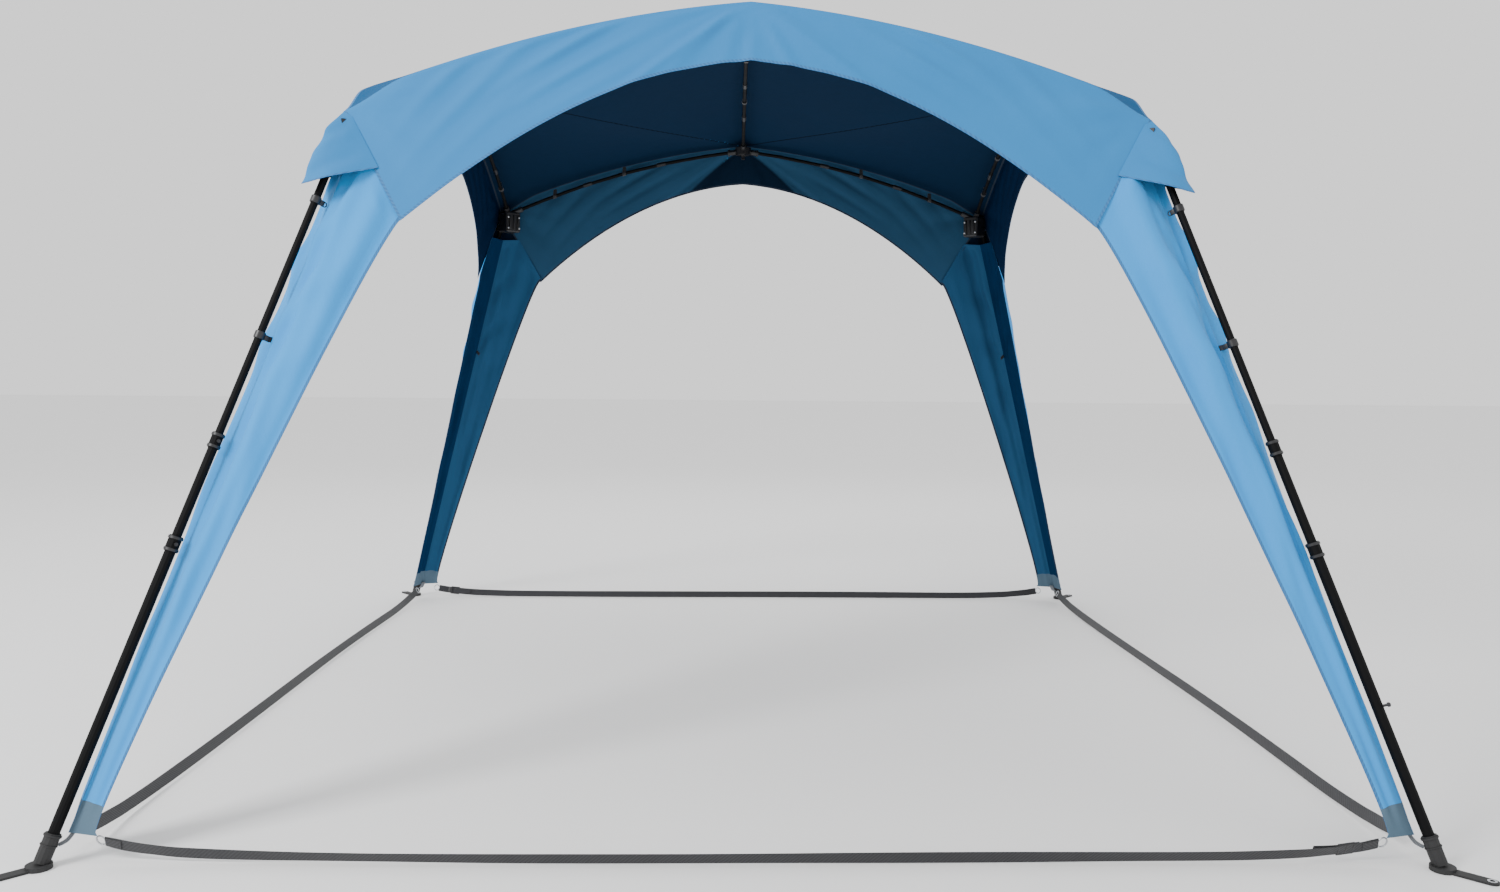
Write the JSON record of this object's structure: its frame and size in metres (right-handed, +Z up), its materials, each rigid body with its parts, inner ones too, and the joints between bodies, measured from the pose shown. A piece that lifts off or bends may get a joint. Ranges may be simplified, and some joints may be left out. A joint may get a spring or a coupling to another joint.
{
  "type": "camping event shelter",
  "caption": "Dome camping shelter: hubbed roof frame, splayed telescopic legs, fitted canopy with arched visors, corner leg panels and ground straps.",
  "frame": {"origin": "on the ground, at the middle of the feet", "axes": "+Z up, -Y out of the front arch, +X to the right seen from the front"},
  "size_m": [3.792, 3.792, 2.5552],
  "materials": {
    "canopy_cloth": "plain-weave coated polyester, matt, light blue outside with a dark coated face inside",
    "panel_cloth": "plain-weave coated polyester, matt, light blue",
    "webbing": "woven polypropylene webbing, matt black",
    "steel": "plated, semi-bright",
    "foot_rubber": "matt moulded",
    "hub_plastic": "fine-grained moulded",
    "tube_paint": "glossy black powder coat"
  },
  "bodies": {
    "roof_frame": {"crown_hub": "hub_plastic", "canopy": "canopy_cloth", "mid_hub_front": "hub_plastic", "mid_hub_right": "hub_plastic", "mid_hub_back": "hub_plastic", "mid_hub_left": "hub_plastic", "ridge_pole_front": "tube_paint", "ridge_pole_right": "tube_paint", "ridge_pole_back": "tube_paint", "ridge_pole_left": "tube_paint", "eave_pole_front_a": "tube_paint", "eave_pole_front_b": "tube_paint", "eave_pole_right_a": "tube_paint", "eave_pole_right_b": "tube_paint", "eave_pole_back_a": "tube_paint", "eave_pole_back_b": "tube_paint", "eave_pole_left_a": "tube_paint", "eave_pole_left_b": "tube_paint", "ground_strap_front": "webbing", "ground_strap_right": "webbing", "ground_strap_back": "webbing", "ground_strap_left": "webbing", "corner_hub_front_left": "hub_plastic", "corner_hub_front_right": "hub_plastic", "corner_hub_back_right": "hub_plastic", "corner_hub_back_left": "hub_plastic", "hinge_pin_front_left": "steel", "hinge_pin_front_right": "steel", "hinge_pin_back_right": "steel", "hinge_pin_back_left": "steel"},
    "leg_upper_front_left": {"leg_upper_front_left": "tube_paint", "leg_panel_front_left": "panel_cloth"},
    "leg_middle_front_left": {"leg_middle_front_left": "tube_paint"},
    "leg_lower_front_left": {"leg_lower_front_left": "tube_paint", "foot_front_left": "foot_rubber"},
    "button_upper_front_left": {"button_upper_front_left": "hub_plastic"},
    "button_lower_front_left": {"button_lower_front_left": "hub_plastic"},
    "leg_upper_front_right": {"leg_upper_front_right": "tube_paint", "leg_panel_front_right": "panel_cloth"},
    "leg_middle_front_right": {"leg_middle_front_right": "tube_paint"},
    "leg_lower_front_right": {"leg_lower_front_right": "tube_paint", "foot_front_right": "foot_rubber"},
    "button_upper_front_right": {"button_upper_front_right": "hub_plastic"},
    "button_lower_front_right": {"button_lower_front_right": "hub_plastic"},
    "leg_upper_back_right": {"leg_upper_back_right": "tube_paint", "leg_panel_back_right": "panel_cloth"},
    "leg_middle_back_right": {"leg_middle_back_right": "tube_paint"},
    "leg_lower_back_right": {"leg_lower_back_right": "tube_paint", "foot_back_right": "foot_rubber"},
    "button_upper_back_right": {"button_upper_back_right": "hub_plastic"},
    "button_lower_back_right": {"button_lower_back_right": "hub_plastic"},
    "leg_upper_back_left": {"leg_upper_back_left": "tube_paint", "leg_panel_back_left": "panel_cloth"},
    "leg_middle_back_left": {"leg_middle_back_left": "tube_paint"},
    "leg_lower_back_left": {"leg_lower_back_left": "tube_paint", "foot_back_left": "foot_rubber"},
    "button_upper_back_left": {"button_upper_back_left": "hub_plastic"},
    "button_lower_back_left": {"button_lower_back_left": "hub_plastic"}
  },
  "joints": [
    {"name": "leg_hinge_front_left", "type": "hinge", "parent": "roof_frame", "child": "leg_upper_front_left", "pos_m": [-1.19384, -1.19384, 1.97463], "axis": [0.7071, -0.7071, 0], "range_deg": [0, 23.4]},
    {"name": "leg_middle_slide_front_left", "type": "slide", "parent": "leg_upper_front_left", "child": "leg_middle_front_left", "axis": [0.2816, 0.2816, 0.9173], "range_m": [0, 0.7], "deforming": ["leg_panel_front_left"]},
    {"name": "leg_lower_slide_front_left", "type": "slide", "parent": "leg_middle_front_left", "child": "leg_lower_front_left", "axis": [0.2816, 0.2816, 0.9173], "range_m": [0, 0.25]},
    {"name": "button_upper_press_front_left", "type": "slide", "parent": "leg_middle_front_left", "child": "button_upper_front_left", "axis": [-0.7071, 0.7071, 0], "range_m": [0, 0.003], "stiffness_N_per_m": 900, "springref_m": -0.0015},
    {"name": "button_lower_press_front_left", "type": "slide", "parent": "leg_lower_front_left", "child": "button_lower_front_left", "axis": [-0.7071, 0.7071, 0], "range_m": [0, 0.003], "stiffness_N_per_m": 900, "springref_m": -0.0015},
    {"name": "leg_hinge_front_right", "type": "hinge", "parent": "roof_frame", "child": "leg_upper_front_right", "pos_m": [1.19384, -1.19384, 1.97463], "axis": [0.7071, 0.7071, 0], "range_deg": [0, 23.4]},
    {"name": "leg_middle_slide_front_right", "type": "slide", "parent": "leg_upper_front_right", "child": "leg_middle_front_right", "axis": [-0.2816, 0.2816, 0.9173], "range_m": [0, 0.7], "deforming": ["leg_panel_front_right"]},
    {"name": "leg_lower_slide_front_right", "type": "slide", "parent": "leg_middle_front_right", "child": "leg_lower_front_right", "axis": [-0.2816, 0.2816, 0.9173], "range_m": [0, 0.25]},
    {"name": "button_upper_press_front_right", "type": "slide", "parent": "leg_middle_front_right", "child": "button_upper_front_right", "axis": [-0.7071, -0.7071, 0], "range_m": [0, 0.003], "stiffness_N_per_m": 900, "springref_m": -0.0015},
    {"name": "button_lower_press_front_right", "type": "slide", "parent": "leg_lower_front_right", "child": "button_lower_front_right", "axis": [-0.7071, -0.7071, 0], "range_m": [0, 0.003], "stiffness_N_per_m": 900, "springref_m": -0.0015},
    {"name": "leg_hinge_back_right", "type": "hinge", "parent": "roof_frame", "child": "leg_upper_back_right", "pos_m": [1.19384, 1.19384, 1.97463], "axis": [-0.7071, 0.7071, 0], "range_deg": [0, 23.4]},
    {"name": "leg_middle_slide_back_right", "type": "slide", "parent": "leg_upper_back_right", "child": "leg_middle_back_right", "axis": [-0.2816, -0.2816, 0.9173], "range_m": [0, 0.7], "deforming": ["leg_panel_back_right"]},
    {"name": "leg_lower_slide_back_right", "type": "slide", "parent": "leg_middle_back_right", "child": "leg_lower_back_right", "axis": [-0.2816, -0.2816, 0.9173], "range_m": [0, 0.25]},
    {"name": "button_upper_press_back_right", "type": "slide", "parent": "leg_middle_back_right", "child": "button_upper_back_right", "axis": [0.7071, -0.7071, 0], "range_m": [0, 0.003], "stiffness_N_per_m": 900, "springref_m": -0.0015},
    {"name": "button_lower_press_back_right", "type": "slide", "parent": "leg_lower_back_right", "child": "button_lower_back_right", "axis": [0.7071, -0.7071, 0], "range_m": [0, 0.003], "stiffness_N_per_m": 900, "springref_m": -0.0015},
    {"name": "leg_hinge_back_left", "type": "hinge", "parent": "roof_frame", "child": "leg_upper_back_left", "pos_m": [-1.19384, 1.19384, 1.97463], "axis": [-0.7071, -0.7071, 0], "range_deg": [0, 23.4]},
    {"name": "leg_middle_slide_back_left", "type": "slide", "parent": "leg_upper_back_left", "child": "leg_middle_back_left", "axis": [0.2816, -0.2816, 0.9173], "range_m": [0, 0.7], "deforming": ["leg_panel_back_left"]},
    {"name": "leg_lower_slide_back_left", "type": "slide", "parent": "leg_middle_back_left", "child": "leg_lower_back_left", "axis": [0.2816, -0.2816, 0.9173], "range_m": [0, 0.25]},
    {"name": "button_upper_press_back_left", "type": "slide", "parent": "leg_middle_back_left", "child": "button_upper_back_left", "axis": [0.7071, 0.7071, 0], "range_m": [0, 0.003], "stiffness_N_per_m": 900, "springref_m": -0.0015},
    {"name": "button_lower_press_back_left", "type": "slide", "parent": "leg_lower_back_left", "child": "button_lower_back_left", "axis": [0.7071, 0.7071, 0], "range_m": [0, 0.003], "stiffness_N_per_m": 900, "springref_m": -0.0015}
  ],
  "couplings": [
    {"joint": "leg_lower_slide_front_left", "follows": "leg_middle_slide_front_left", "ratio": 0.357},
    {"joint": "leg_lower_slide_front_right", "follows": "leg_middle_slide_front_right", "ratio": 0.357},
    {"joint": "leg_lower_slide_back_right", "follows": "leg_middle_slide_back_right", "ratio": 0.357},
    {"joint": "leg_lower_slide_back_left", "follows": "leg_middle_slide_back_left", "ratio": 0.357}
  ]
}
